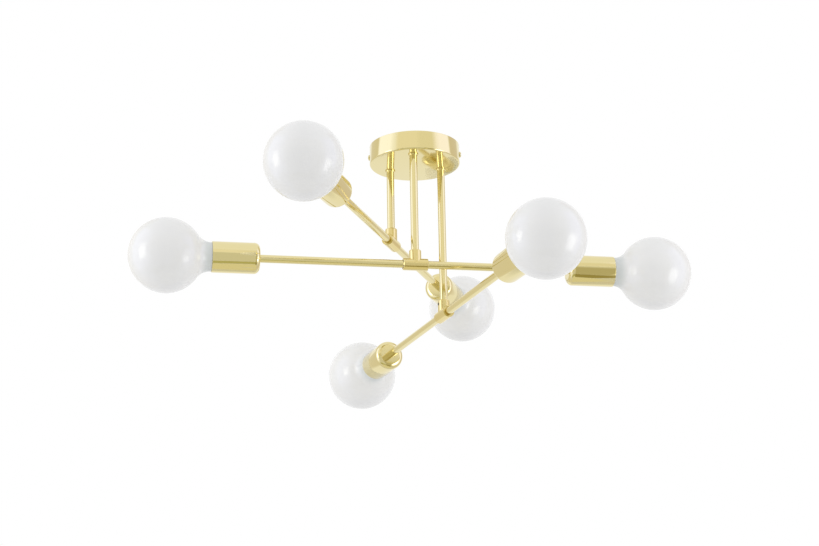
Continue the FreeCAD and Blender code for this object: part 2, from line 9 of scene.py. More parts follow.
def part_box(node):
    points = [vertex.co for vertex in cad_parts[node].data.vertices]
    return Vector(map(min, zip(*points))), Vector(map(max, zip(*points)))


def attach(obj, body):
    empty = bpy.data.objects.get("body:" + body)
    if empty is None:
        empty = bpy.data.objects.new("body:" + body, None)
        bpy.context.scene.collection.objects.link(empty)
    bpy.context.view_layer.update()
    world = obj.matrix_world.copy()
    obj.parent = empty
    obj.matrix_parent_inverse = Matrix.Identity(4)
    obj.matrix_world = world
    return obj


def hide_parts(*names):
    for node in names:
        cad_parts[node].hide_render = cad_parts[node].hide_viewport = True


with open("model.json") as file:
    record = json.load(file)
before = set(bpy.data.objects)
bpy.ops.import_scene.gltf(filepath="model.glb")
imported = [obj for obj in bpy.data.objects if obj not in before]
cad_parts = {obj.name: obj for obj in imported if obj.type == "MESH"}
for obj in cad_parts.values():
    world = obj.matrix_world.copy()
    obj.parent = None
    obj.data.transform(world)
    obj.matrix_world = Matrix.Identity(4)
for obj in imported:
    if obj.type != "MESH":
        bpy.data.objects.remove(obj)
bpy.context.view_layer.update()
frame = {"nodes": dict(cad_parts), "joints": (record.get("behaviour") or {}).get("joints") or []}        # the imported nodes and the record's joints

nodes = frame["nodes"]

# Canopy: a dish spun from thin brass sheet, polished to a mirror and lacquered. Its open side lies on the
# ceiling, three stems pass through its flat bottom, and a screw through each side holds it on the bracket.
canopy_low, canopy_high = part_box("canopy")
canopy_radius = canopy_high.x
canopy_height = -canopy_low.z
canopy_sheet = 0.0012
canopy_edge = 0.002
canopy_burr = 0.0003
canopy_hole = 0.00508
side_hole = 0.00208
drill_overrun_share = 1.1
down = Vector((0, 0, -1))
across = Vector((1, 0, 0))
ceiling_centre = Vector((0, 0, 0))
sharp_angle = math.radians(32)
fine_sides = 256
large_sides = 128
tube_sides = 64
drill_sides = 48


def bend(along, out, radius, first, last, steps=8):
    """Points of an arc in an outline, about a centre, from one angle to another in degrees."""
    points = []
    for step in range(steps + 1):
        turn = math.radians(first + (last - first) * step / steps)
        points.append((along + radius * math.cos(turn), out + radius * math.sin(turn)))
    return points


def turned(name, outline, foot, way, around, thread=None):
    """A piece turned about a line from foot along way. Its outline is a list of (along, out) points."""
    work = bmesh.new()
    rings = []
    for along, out in outline:
        ring = []
        for side in range(around if out > 0 else 1):
            turn = math.tau * side / around
            radius = out if thread is None else thread(along, out, turn)
            ring.append(work.verts.new((along, radius * math.cos(turn), radius * math.sin(turn))))
        rings.append(ring)
    for here, there in zip(rings, rings[1:] + rings[:1]):
        for side in range(around):
            after = (side + 1) % around
            corners = []
            for ring, place in ((here, side), (here, after), (there, after), (there, side)):
                corner = ring[place % len(ring)]
                if corner not in corners:
                    corners.append(corner)
            if len(corners) > 2:
                work.faces.new(corners)
    bmesh.ops.recalc_face_normals(work, faces=work.faces)
    mesh = bpy.data.meshes.new(name)
    work.to_mesh(mesh)
    work.free()
    return placed(name, mesh, foot, way)


def placed(name, mesh, foot, way):
    """A smooth piece with its own X axis along way."""
    mesh.shade_smooth()
    mesh.set_sharp_from_angle(angle=sharp_angle)
    piece = bpy.data.objects.new(name, mesh)
    bpy.context.scene.collection.objects.link(piece)
    piece.matrix_world = Matrix.Translation(foot) @ way.to_track_quat("X", "Z").to_matrix().to_4x4()
    return piece


def drilled(piece, holes):
    """The same piece after the holes, given as (foot, way, length, radius), are cut through it."""
    for foot, way, length, radius in holes:
        drill = [(0, 0), (0, radius), (length, radius), (length, 0)]
        cutout(piece, turned("drill", drill, foot, way, drill_sides))
    return piece


def cutout(piece, tool):
    """Cut the tool's shape out of a piece and remove the tool."""
    cut = piece.modifiers.new("cut", "BOOLEAN")
    cut.operation = "DIFFERENCE"
    cut.solver = "EXACT"
    cut.object = tool
    bpy.context.view_layer.update()
    shaped = piece.evaluated_get(bpy.context.evaluated_depsgraph_get())
    mesh = bpy.data.meshes.new_from_object(shaped)
    piece.modifiers.clear()
    piece.data = mesh
    mesh.shade_smooth()
    mesh.set_sharp_from_angle(angle=sharp_angle)
    bpy.data.objects.remove(tool)


def settled(piece, material, body, slot, *stands_for):
    """Fix a finished piece in its place. Its mesh keeps its places about its own line as "own"."""
    mesh = piece.data
    own = mesh.attributes.new("own", "FLOAT_VECTOR", "POINT")
    own.data.foreach_set("vector", [number for vertex in mesh.vertices for number in vertex.co])
    mesh.transform(piece.matrix_world)
    piece.matrix_world = Matrix()
    mesh.materials.append(material)
    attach(piece, body)
    for node in stands_for:
        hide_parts(node)


def sockets(group, way, names):
    """The named inputs or outputs of a shader group."""
    for name, kind in names.items():
        group.interface.new_socket(name, in_out=way, socket_type="NodeSocket" + kind)


def handling_marks():
    """Soft smudges and a film of haze, as hands and a cloth leave them on polished metal."""
    group = bpy.data.node_groups.new("handling_marks", "ShaderNodeTree")
    sockets(group, "INPUT", {"Vector": "Vector", "Scale": "Float"})
    sockets(group, "OUTPUT", {"Smudge": "Float", "Haze": "Float"})
    start = group.nodes.new("NodeGroupInput")
    end = group.nodes.new("NodeGroupOutput")
    smudge = group.nodes.new("ShaderNodeTexNoise")
    smudge.inputs["Detail"].default_value = 5
    smudge.inputs["Roughness"].default_value = 0.62
    smudge.inputs["Distortion"].default_value = 0.6
    haze = group.nodes.new("ShaderNodeTexNoise")
    haze.inputs["Detail"].default_value = 2
    haze.inputs["Scale"].default_value = 9
    contrast = group.nodes.new("ShaderNodeMapRange")
    contrast.inputs["From Min"].default_value = 0.42
    contrast.inputs["From Max"].default_value = 0.72
    group.links.new(start.outputs["Vector"], smudge.inputs["Vector"])
    group.links.new(start.outputs["Scale"], smudge.inputs["Scale"])
    group.links.new(start.outputs["Vector"], haze.inputs["Vector"])
    group.links.new(smudge.outputs["Fac"], contrast.inputs["Value"])
    group.links.new(contrast.outputs["Result"], end.inputs["Smudge"])
    group.links.new(haze.outputs["Fac"], end.inputs["Haze"])
    return group


def lathe_marks():
    """Fine rings that spinning and polishing leave round a piece's own X axis."""
    group = bpy.data.node_groups.new("lathe_marks", "ShaderNodeTree")
    sockets(group, "INPUT", {"Vector": "Vector", "Rings": "Float"})
    sockets(group, "OUTPUT", {"Height": "Float"})
    start = group.nodes.new("NodeGroupInput")
    end = group.nodes.new("NodeGroupOutput")
    parts = group.nodes.new("ShaderNodeSeparateXYZ")
    flat = group.nodes.new("ShaderNodeCombineXYZ")
    out = group.nodes.new("ShaderNodeVectorMath")
    out.operation = "LENGTH"
    pair = group.nodes.new("ShaderNodeCombineXYZ")
    rings = group.nodes.new("ShaderNodeTexNoise")
    rings.inputs["Detail"].default_value = 3
    group.links.new(start.outputs["Vector"], parts.inputs["Vector"])
    group.links.new(parts.outputs["Y"], flat.inputs["Y"])
    group.links.new(parts.outputs["Z"], flat.inputs["Z"])
    group.links.new(flat.outputs["Vector"], out.inputs[0])
    group.links.new(parts.outputs["X"], pair.inputs["X"])
    group.links.new(out.outputs["Value"], pair.inputs["Y"])
    group.links.new(pair.outputs["Vector"], rings.inputs["Vector"])
    group.links.new(start.outputs["Rings"], rings.inputs["Scale"])
    group.links.new(rings.outputs["Fac"], end.inputs["Height"])
    return group


handling = handling_marks()
lathe = lathe_marks()


def finish(name, turned_piece=False):
    """A new material: its tree, its shader and the places on a piece, about its own line if turned."""
    material = bpy.data.materials.new(name)
    material.use_nodes = True
    tree = material.node_tree
    if turned_piece:
        own = tree.nodes.new("ShaderNodeAttribute")
        own.attribute_name = "own"
        return material, tree, tree.nodes["Principled BSDF"], own.outputs["Vector"]
    place = tree.nodes.new("ShaderNodeTexCoord")
    return material, tree, tree.nodes["Principled BSDF"], place.outputs["Object"]


def placed_group(tree, group, place, **values):
    """A shader group in a material, with values of its own."""
    node = tree.nodes.new("ShaderNodeGroup")
    node.node_tree = group
    tree.links.new(place, node.inputs["Vector"])
    for name, value in values.items():
        node.inputs[name].default_value = value
    return node


def between(tree, share, low, high, into):
    """A number that runs from low to high over the surface, for one of the shader's sockets."""
    spread = tree.nodes.new("ShaderNodeMapRange")
    spread.inputs["To Min"].default_value = low
    spread.inputs["To Max"].default_value = high
    tree.links.new(share, spread.inputs["Value"])
    tree.links.new(spread.outputs["Result"], into)


def blended(tree, share, first, second, into):
    """A colour that runs from first to second over the surface."""
    mix = tree.nodes.new("ShaderNodeMix")
    mix.data_type = "RGBA"
    mix.inputs["A"].default_value = (*first, 1)
    mix.inputs["B"].default_value = (*second, 1)
    tree.links.new(share, mix.inputs["Factor"])
    tree.links.new(mix.outputs["Result"], into)
    return mix


def raised(tree, height, depth, shader):
    """Relief of the given depth on the surface."""
    bump = tree.nodes.new("ShaderNodeBump")
    bump.inputs["Strength"].default_value = 1
    bump.inputs["Distance"].default_value = depth
    tree.links.new(height, bump.inputs["Height"])
    tree.links.new(bump.outputs["Normal"], shader.inputs["Normal"])


def polished_brass(name, bright, deep, low_roughness, high_roughness, rings, ring_depth):
    """Lacquered brass with smudges, a little haze and the rings of its polishing."""
    material, tree, shader, place = finish(name, turned_piece=True)
    marks = placed_group(tree, handling, place, Scale=55)
    blended(tree, marks.outputs["Haze"], bright, deep, shader.inputs["Base Color"])
    between(tree, marks.outputs["Smudge"], low_roughness, high_roughness, shader.inputs["Roughness"])
    grain = placed_group(tree, lathe, place, Rings=rings)
    raised(tree, grain.outputs["Height"], ring_depth, shader)
    shader.inputs["Metallic"].default_value = 1
    return material


spun_brass = polished_brass(
    "spun_brass", (0.80, 0.71, 0.39), (0.78, 0.68, 0.35), 0.05, 0.10, 1500, 0.0000025)
canopy_dish = turned("canopy_dish", [
    (canopy_height, 0),
    *bend(canopy_height - canopy_edge, canopy_radius - canopy_edge, canopy_edge, 0, 90, 10),
    *bend(canopy_burr, canopy_radius - canopy_burr, canopy_burr, 90, 180, 3),
    *bend(canopy_burr, canopy_radius - canopy_sheet + canopy_burr, canopy_burr, 180, 270, 3),
    *bend(canopy_height - canopy_edge, canopy_radius - canopy_edge, canopy_edge - canopy_sheet, 90, 0, 6),
    (canopy_height - canopy_sheet, 0),
], ceiling_centre, down, fine_sides)
stem_tops = {}
for level in ("upper", "middle", "lower"):
    stem_low, stem_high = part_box(level + "_stem")
    stem_tops[level] = Vector(((stem_low.x + stem_high.x) / 2, (stem_low.y + stem_high.y) / 2, 0))
mid_height = down * canopy_height / 2
drilled(canopy_dish, [
    (stem_top + mid_height, down, canopy_height, canopy_hole) for stem_top in stem_tops.values()])
side_drill = across * canopy_radius * drill_overrun_share
drilled(canopy_dish, [(mid_height - side_drill, across, side_drill.length * 2, side_hole)])
settled(canopy_dish, spun_brass, "root", "polished_brass", "canopy")

# Side screws: two slotted pan-head screws with a brass finish. They go through the canopy's wall into the
# threaded ends of the ceiling bracket.
screw_low, screw_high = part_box("canopy_screws")
side_screw_head = screw_high.x - canopy_radius
side_screw_radius = (screw_high.y - screw_low.y) / 2
side_screw_shank = 0.002
side_screw_length = 0.008
side_screw_pitch = 0.0007
side_screw_thread_depth = 0.0004
side_screw_tip_share = 0.75
side_screw_threaded_share = 0.95
side_screw_slot = 0.001
side_screw_slot_depth_share = 0.45
side_screw_slot_angles = {"right": 25, "left": -40}
slot_overrun_share = 3
points_per_pitch = 8
above_thread_share = 1.001


def screw_run(start, end, radius, pitch):
    """Outline points close enough together to carry a thread."""
    count = max(2, round(abs(end - start) / pitch * points_per_pitch))
    return [(start + (end - start) * step / count, radius) for step in range(count + 1)]


def screw_thread(start, end, radius, pitch, depth):
    """Gives the radius of a threaded piece: a sharp thread from start to end that fades out at both."""
    def cut(along, out, turn):
        threaded = radius - depth <= out <= radius * above_thread_share
        if not threaded or not start < along < end:
            return out
        phase = (along / pitch - turn / math.tau) % 1
        fade = min(1, (along - start) / pitch, (end - along) / pitch)
        return out - depth * fade * abs(2 * phase - 1)
    return cut


dome_rise = side_screw_head / 2
dome_radius = (side_screw_radius ** 2 + dome_rise ** 2) / (2 * dome_rise)
dome_angle = math.degrees(math.asin(side_screw_radius / dome_radius))
side_screw_cut = screw_thread(
    -side_screw_length, 0, side_screw_shank, side_screw_pitch, side_screw_thread_depth)
blade_size = (
    side_screw_head * side_screw_slot_depth_share * 2,
    side_screw_radius * slot_overrun_share,
    side_screw_slot,
    1)
for side, outward in (("right", across), ("left", -across)):
    screw = turned("canopy_screw_" + side, [
        (-side_screw_length, 0),
        (-side_screw_length, side_screw_shank * side_screw_tip_share),
        *screw_run(
            -side_screw_length * side_screw_threaded_share, 0, side_screw_shank, side_screw_pitch),
        (0, side_screw_radius),
        *bend(side_screw_head - dome_radius, 0, dome_radius, dome_angle, 0, 10),
    ], mid_height + outward * canopy_radius, outward, tube_sides, side_screw_cut)
    blade = bmesh.new()
    bmesh.ops.create_cube(blade, size=1)
    blade_mesh = bpy.data.meshes.new("blade")
    blade.to_mesh(blade_mesh)
    blade.free()
    slot_tool = placed("blade", blade_mesh, ceiling_centre, across)
    slot_tool.matrix_world = (
        screw.matrix_world
        @ Matrix.Rotation(math.radians(side_screw_slot_angles[side]), 4, "X")
        @ Matrix.Translation((side_screw_head, 0, 0))
        @ Matrix.Diagonal(blade_size))
    cutout(screw, slot_tool)
    settled(screw, spun_brass, "root", "polished_brass", "canopy_screws")

# Stems: brass tubes of three lengths. Each is threaded at its top, where a flange nut inside the canopy
# and a thin round collar below it clamp it to the canopy.
tube_bore = 0.0035
stem_thread_pitch = 0.001
stem_thread_depth = 0.00055
stem_thread_past_canopy = 0.001
groove_depth = 0.0007
groove_width = 0.003
tube_brass = polished_brass(
    "tube_brass", (0.80, 0.71, 0.39), (0.78, 0.685, 0.36), 0.09, 0.15, 260, 0.0000015)
collar_low, collar_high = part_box("stem_collars")
collar_radius = 0.0065
collar_edge = 0.0006
for level, stem_top in stem_tops.items():
    stem_low, stem_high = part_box(level + "_stem")
    stem_radius = (stem_high.x - stem_low.x) / 2
    top, foot_end = -stem_high.z, -stem_low.z
    thread_end = canopy_height + stem_thread_past_canopy
    set_screw_low, set_screw_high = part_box(level + "_set_screw")
    groove = -(set_screw_low.z + set_screw_high.z) / 2
    stem_cut = screw_thread(top, thread_end, stem_radius, stem_thread_pitch, stem_thread_depth)
    stem = turned(level + "_stem_tube", [
        (top, tube_bore),
        (top, stem_radius - stem_thread_depth),
        *screw_run(top + stem_thread_depth, thread_end, stem_radius, stem_thread_pitch),
        (groove - groove_width / 2, stem_radius),
        (groove - groove_width / 2, stem_radius - groove_depth),
        (groove + groove_width / 2, stem_radius - groove_depth),
        (groove + groove_width / 2, stem_radius),
        (foot_end, stem_radius),
        (foot_end, tube_bore),
    ], stem_top, down, tube_sides, stem_cut)
    settled(stem, tube_brass, "root", "polished_brass", level + "_stem")
    collar_start, collar_end = -collar_high.z, -collar_low.z
    collar = turned(level + "_stem_collar", [
        (collar_start, stem_radius),
        (collar_start, collar_radius - collar_edge / 2),
        (collar_start + collar_edge / 2, collar_radius),
        *bend(collar_end - collar_edge, collar_radius - collar_edge, collar_edge, 90, 0, 5),
        (collar_end, stem_radius),
    ], stem_top, down, tube_sides)
    settled(collar, tube_brass, "root", "polished_brass", "stem_collars")

# Tees: cast and polished brass, a little deeper in colour than the drawn tubes. The upright collar turns
# on the stem, and the crosswise sleeve holds both arms. A black set screw runs in the stem's groove.
cast_brass, tree, shader, place = finish("cast_brass")
marks = placed_group(tree, handling, place, Scale=80)
blended(tree, marks.outputs["Haze"], (0.80, 0.68, 0.33), (0.76, 0.63, 0.28), shader.inputs["Base Color"])
between(tree, marks.outputs["Smudge"], 0.07, 0.13, shader.inputs["Roughness"])
shader.inputs["Metallic"].default_value = 1
black_steel, tree, shader, place = finish("black_steel")
marks = placed_group(tree, handling, place, Scale=600)
blended(
    tree, marks.outputs["Smudge"],
    (0.025, 0.025, 0.027), (0.07, 0.068, 0.065), shader.inputs["Base Color"])
between(tree, marks.outputs["Haze"], 0.28, 0.46, shader.inputs["Roughness"])
shader.inputs["Metallic"].default_value = 0.8
for level in stem_tops:
    nodes[level + "_tee"].material_slots[0].material = cast_brass
    nodes[level + "_set_screw"].material_slots[0].material = black_steel

# Arms: brass tubes that meet in the tee. Past the shoulder, a thinner threaded spigot goes through the
# cup into the lampholder.
arm_chamfer = 0.0002
arm_thread_pitch = 0.001
arm_thread_depth = 0.0005
spigot_radius = 0.004
spigot_bore = 0.0026
ends = {"upper": ("front", "back"), "middle": ("left", "right"), "lower": ("front", "back")}
arm_ways = {}
for joint in frame["joints"]:
    if joint["name"].endswith("_bulb_turn"):
        arm_ways[joint["name"].replace("_bulb_turn", "")] = Vector(joint["axis"]).normalized()


def reach(node, foot, way):
    """How far along a line a node starts and ends, and how far out from the line it goes."""
    start, end, widest = math.inf, -math.inf, 0
    for vertex in nodes[node].data.vertices:
        offset = vertex.co - foot
        along = offset.dot(way)
        start = min(start, along)
        end = max(end, along)
        widest = max(widest, (offset - way * along).length)
    return start, end, widest


bar_centres = {}
for level, stem_top in stem_tops.items():
    low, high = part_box(level + "_arm_wires")
    bar_centres[level] = Vector((stem_top.x, stem_top.y, (low.z + high.z) / 2))
for level, names in ends.items():
    for end in names:
        piece = level + "_" + end
        centre, way = bar_centres[level], arm_ways[piece]
        arm_start, arm_end, arm_radius = reach(piece + "_arm", centre, way)
        shoulder = reach(piece + "_cup", centre, way)[0]
        arm_cut = screw_thread(
            shoulder, arm_end, spigot_radius, arm_thread_pitch, arm_thread_depth)
        arm = turned(piece + "_arm_tube", [
            (arm_start, tube_bore),
            (arm_start, arm_radius - arm_chamfer),
            (arm_start + arm_chamfer, arm_radius),
            (shoulder - arm_chamfer, arm_radius),
            (shoulder, arm_radius - arm_chamfer),
            *screw_run(shoulder, arm_end, spigot_radius, arm_thread_pitch),
            (arm_end, spigot_bore),
            (shoulder - arm_radius, spigot_bore),
            (shoulder - arm_radius, tube_bore),
        ], centre, way, tube_sides, arm_cut)
        settled(arm, tube_brass, level + "_bar", "polished_brass", piece + "_arm")

# Cups: spun brass covers with a flat back and a rounded shoulder. A nut clamps each cup against the end of
# its arm, and the lampholder sits inside.
cup_sheet = 0.001
cup_back_radius = 0.007
cup_hole = 0.00405
for piece, way in arm_ways.items():
    level = piece.split("_")[0]
    centre = bar_centres[level]
    cup_start, cup_end, cup_radius = reach(piece + "_cup", centre, way)
    back = cup_radius - cup_back_radius
    lip = cup_sheet / 2
    cup = turned(piece + "_cup_shell", [
        (0, cup_hole),
        *bend(cup_back_radius, back, cup_back_radius, 180, 90, 14),
        *bend(cup_end - cup_start - lip, cup_radius - lip, lip, 90, -90, 8),
        *bend(cup_back_radius, back, cup_back_radius - cup_sheet, 90, 180, 12),
        (cup_sheet, cup_hole),
    ], centre + way * cup_start, way, large_sides)
    settled(cup, spun_brass, level + "_bar", "polished_brass", piece + "_cup")

# Globe bulbs: one blown opal glass shell each, glossy outside and white all through. The neck is painted
# greyer, partly for its thinner coat and partly as painted shade inside and just past the cup's mouth, and
# it narrows into the screw cap inside the lampholder.
glass_wall = 0.0008
neck_gap = 0.0003
neck_blend = 0.020
neck_entry = 0.0015
neck_round = 0.002
tail_radius = 0.0116
tail_length = 0.008
opal_glass, tree, shader, place = finish("opal_glass", turned_piece=True)
parts = tree.nodes.new("ShaderNodeSeparateXYZ")
tree.links.new(place, parts.inputs["Vector"])
# Painted shade: a share along the neck, full inside the cup and fading out just past its mouth, partly for
# the thinner coat there.
neck_coat_and_shade = tree.nodes.new("ShaderNodeMapRange")
neck_coat_and_shade.interpolation_type = "SMOOTHSTEP"
neck_coat_and_shade.inputs["From Min"].default_value = 0.005
neck_coat_and_shade.inputs["From Max"].default_value = 0.016
tree.links.new(parts.outputs["X"], neck_coat_and_shade.inputs["Value"])
milk = placed_group(tree, handling, place, Scale=30)
body = blended(
    tree, milk.outputs["Haze"], (0.87, 0.87, 0.87), (0.90, 0.90, 0.90), shader.inputs["Base Color"])
# Painted shade: the grey that the neck is mixed towards in and near the cup, partly for its thinner coat.
neck_coat_and_shade_tint = tree.nodes.new("ShaderNodeMix")
neck_coat_and_shade_tint.data_type = "RGBA"
neck_coat_and_shade_tint.inputs["A"].default_value = (0.72, 0.75, 0.745, 1)
tree.links.new(neck_coat_and_shade.outputs["Result"], neck_coat_and_shade_tint.inputs["Factor"])
tree.links.new(body.outputs["Result"], neck_coat_and_shade_tint.inputs["B"])
tree.links.new(neck_coat_and_shade_tint.outputs["Result"], shader.inputs["Base Color"])
between(tree, milk.outputs["Smudge"], 0.15, 0.19, shader.inputs["Roughness"])
shader.inputs["IOR"].default_value = 1.5
for piece, way in arm_ways.items():
    level = piece.split("_")[0]
    centre = bar_centres[level]
    globe_start, globe_end, globe_radius = reach(piece + "_globe", centre, way)
    _, cup_end, cup_radius = reach(piece + "_cup", centre, way)
    neck_radius = cup_radius - cup_sheet - neck_gap
    globe_centre = globe_end - cup_end - globe_radius
    blend_out = neck_radius + neck_blend
    blend_reach = math.sqrt((globe_radius + neck_blend) ** 2 - blend_out ** 2)
    blend_centre = globe_centre - blend_reach
    blend_angle = math.degrees(math.atan2(blend_out, -blend_reach))
    tail_start = globe_start - cup_end
    rim = tail_start + tail_length
    taper = neck_radius - neck_round
    round_centre = neck_round - neck_entry
    outline = [
        *bend(globe_centre, 0, globe_radius, 0, blend_angle, 56)[1:],
        *bend(blend_centre, blend_out, neck_blend, blend_angle - 180, -90, 10)[1:],
        *bend(round_centre, taper, neck_round, 90, 180, 8),
        (rim, tail_radius),
        (tail_start, tail_radius),
        (tail_start, tail_radius - glass_wall),
        (rim, tail_radius - glass_wall),
        *bend(round_centre, taper, neck_round - glass_wall, 180, 90, 6),
        *bend(blend_centre, blend_out, neck_blend + glass_wall, -90, blend_angle - 180, 8),
        *bend(globe_centre, 0, globe_radius - glass_wall, blend_angle, 0, 40)[:-1],
        (globe_centre + globe_radius - glass_wall, 0),
        (globe_centre + globe_radius, 0),
    ]
    globe = turned(piece + "_globe_glass", outline, centre + way * cup_end, way, large_sides)
    settled(globe, opal_glass, piece + "_bulb", "opal_glass", piece + "_globe")

# Screw caps: each bulb ends in a thin rolled shell with a round thread, a cone of black glass that
# insulates it and a soldered contact. The cap turns inside the lampholder.
cap_sheet = 0.0004
cap_thread_pitch = 0.0036
cap_thread_depth = 0.0009
cap_thread_start = 0.006
cap_thread_end = 0.024
cap_contact_radius = 0.00475
cap_contact_height = 0.0015
cap_sides = 72
contact_sides = 48


def round_thread(start, end, pitch, depth):
    """Gives the radius of a rolled sheet: a round thread between start and end that fades out at both."""
    def rolled(along, out, turn):
        if not start < along < end:
            return out
        wave = (1 - math.cos(math.tau * (along / pitch) - turn)) / 2
        return out + depth * wave * min(1, (along - start) / pitch, (end - along) / pitch)
    return rolled


def bare_metal(name, dull, bright, low_roughness, high_roughness):
    """Metal with no lacquer: its own colour in clouds, and a roughness that changes with its smudges."""
    material, tree, shader, place = finish(name, turned_piece=True)
    marks = placed_group(tree, handling, place, Scale=180)
    blended(tree, marks.outputs["Haze"], dull, bright, shader.inputs["Base Color"])
    between(tree, marks.outputs["Smudge"], low_roughness, high_roughness, shader.inputs["Roughness"])
    grain = placed_group(tree, lathe, place, Rings=900)
    raised(tree, grain.outputs["Height"], 0.000004, shader)
    shader.inputs["Metallic"].default_value = 1
    return material


rolled_nickel = bare_metal("rolled_nickel", (0.62, 0.60, 0.55), (0.70, 0.68, 0.63), 0.16, 0.30)
solder = bare_metal("solder", (0.42, 0.42, 0.42), (0.52, 0.52, 0.51), 0.34, 0.52)
black_glass, tree, shader, place = finish("black_glass", turned_piece=True)
marks = placed_group(tree, handling, place, Scale=240)
blended(
    tree, marks.outputs["Haze"], (0.012, 0.011, 0.014), (0.03, 0.028, 0.03), shader.inputs["Base Color"])
between(tree, marks.outputs["Smudge"], 0.08, 0.22, shader.inputs["Roughness"])
cap_roll = round_thread(cap_thread_start, cap_thread_end, cap_thread_pitch, cap_thread_depth)
for piece, way in arm_ways.items():
    centre = bar_centres[piece.split("_")[0]]
    cap_tip, cap_rim, cap_radius = reach(piece + "_screw_cap", centre, way)
    cap_foot = centre + way * cap_tip
    cap_length = cap_rim - cap_tip
    root = cap_radius - cap_thread_depth
    inner = root - cap_sheet
    shell = turned(piece + "_cap_shell", [
        (cap_length, root),
        *screw_run(cap_thread_end, cap_thread_start, root, cap_thread_pitch),
        *bend(cap_thread_start, root - 2 * cap_sheet, 2 * cap_sheet, 90, 180, 5),
        *bend(cap_thread_start, root - 2 * cap_sheet, cap_sheet, 180, 90, 4),
        *screw_run(cap_thread_start + cap_sheet, cap_thread_end, inner, cap_thread_pitch),
        (cap_length, inner),
    ], cap_foot, way, cap_sides, cap_roll)
    settled(shell, rolled_nickel, piece + "_bulb", "nickel_cap", piece + "_screw_cap")
    insulator = turned(piece + "_cap_insulator", [
        (cap_thread_start + cap_sheet, 0),
        (cap_thread_start + cap_sheet, inner - cap_sheet),
        (cap_thread_start - cap_sheet, root - 3 * cap_sheet),
        *bend(cap_contact_height + cap_sheet, cap_contact_radius, cap_sheet, 90, 180, 4),
        (cap_contact_height, 0),
    ], cap_foot, way, contact_sides)
    settled(insulator, black_glass, piece + "_bulb", "nickel_cap", piece + "_screw_cap")
    contact_edge = cap_contact_height / 3
    contact = turned(piece + "_cap_contact", [
        (cap_contact_height, 0),
        (cap_contact_height, cap_contact_radius - contact_edge),
        *bend(2 * contact_edge, cap_contact_radius - 2 * contact_edge, contact_edge, 90, 180, 4),
        (contact_edge, cap_contact_radius / 2),
        *bend(contact_edge, 0, contact_edge, 90, 180, 5)[1:-1],
        (0, 0),
    ], cap_foot, way, contact_sides)
    settled(contact, solder, piece + "_bulb", "nickel_cap", piece + "_screw_cap")

# Lampholders: a body of white glazed ceramic, lined with a threaded shell of thin nickel-plated sheet. A
# springy centre contact is riveted to its floor.
shell_sheet = 0.0002
shell_wave = 0.00015
shell_flange = 0.001
contact_gap = 0.0003
contact_height = 0.0044
contact_dome = 0.003
contact_sheet = 0.0004
contact_dome_angle = 70
rivet_radius = 0.0015
rivet_reach = 0.004
rivet_sides = 40
sprung_nickel = bare_metal("sprung_nickel", (0.66, 0.64, 0.58), (0.74, 0.72, 0.67), 0.12, 0.26)
for piece, way in arm_ways.items():
    level = piece.split("_")[0]
    centre = bar_centres[level]
    mouth = reach(piece + "_lampholder", centre, way)[1]
    shell_radius = reach(level + "_holder_contacts", centre, way)[2]
    socket_floor = reach(piece + "_screw_cap", centre, way)[0] - contact_gap - contact_height
    shell_foot = socket_floor + shell_flange
    shell_length = mouth - shell_foot
    outer = shell_radius - shell_wave
    shell_roll = round_thread(0, shell_length, cap_thread_pitch, shell_wave)
    lining = turned(piece + "_holder_shell", [
        *screw_run(0, shell_length, outer, cap_thread_pitch),
        *screw_run(shell_length, 0, outer - shell_sheet, cap_thread_pitch),
    ], centre + way * shell_foot, way, cap_sides, shell_roll)
    settled(lining, sprung_nickel, level + "_bar", "nickel_contacts", level + "_holder_contacts")
    spring = turned(piece + "_centre_contact", [
        (-rivet_reach, 0),
        (-rivet_reach, rivet_radius),
        (0, rivet_radius),
        (0, contact_dome),
        (contact_sheet, contact_dome),
        *bend(contact_height - contact_dome, 0, contact_dome, contact_dome_angle, 0, 8),
    ], centre + way * socket_floor, way, rivet_sides)
    settled(spring, sprung_nickel, level + "_bar", "nickel_contacts", level + "_holder_contacts")
white_ceramic, tree, shader, place = finish("white_ceramic")
marks = placed_group(tree, handling, place, Scale=120)
blended(tree, marks.outputs["Haze"], (0.80, 0.79, 0.76), (0.87, 0.86, 0.84), shader.inputs["Base Color"])
between(tree, marks.outputs["Smudge"], 0.10, 0.22, shader.inputs["Roughness"])
shader.inputs["Coat Weight"].default_value = 0.6

# Zinc-plated steel: the ceiling bracket, its screws, the clamp screws and the nuts. Its plating is a
# bluish grey with soft spangles.
plated_steel, tree, shader, place = finish("plated_steel")
marks = placed_group(tree, handling, place, Scale=140)
spangle = tree.nodes.new("ShaderNodeTexVoronoi")
spangle.inputs["Scale"].default_value = 420
tree.links.new(place, spangle.inputs["Vector"])
blended(tree, marks.outputs["Haze"], (0.60, 0.61, 0.62), (0.68, 0.68, 0.64), shader.inputs["Base Color"])
between(tree, marks.outputs["Smudge"], 0.26, 0.42, shader.inputs["Roughness"])
raised(tree, spangle.outputs["Distance"], 0.00001, shader)
shader.inputs["Metallic"].default_value = 1

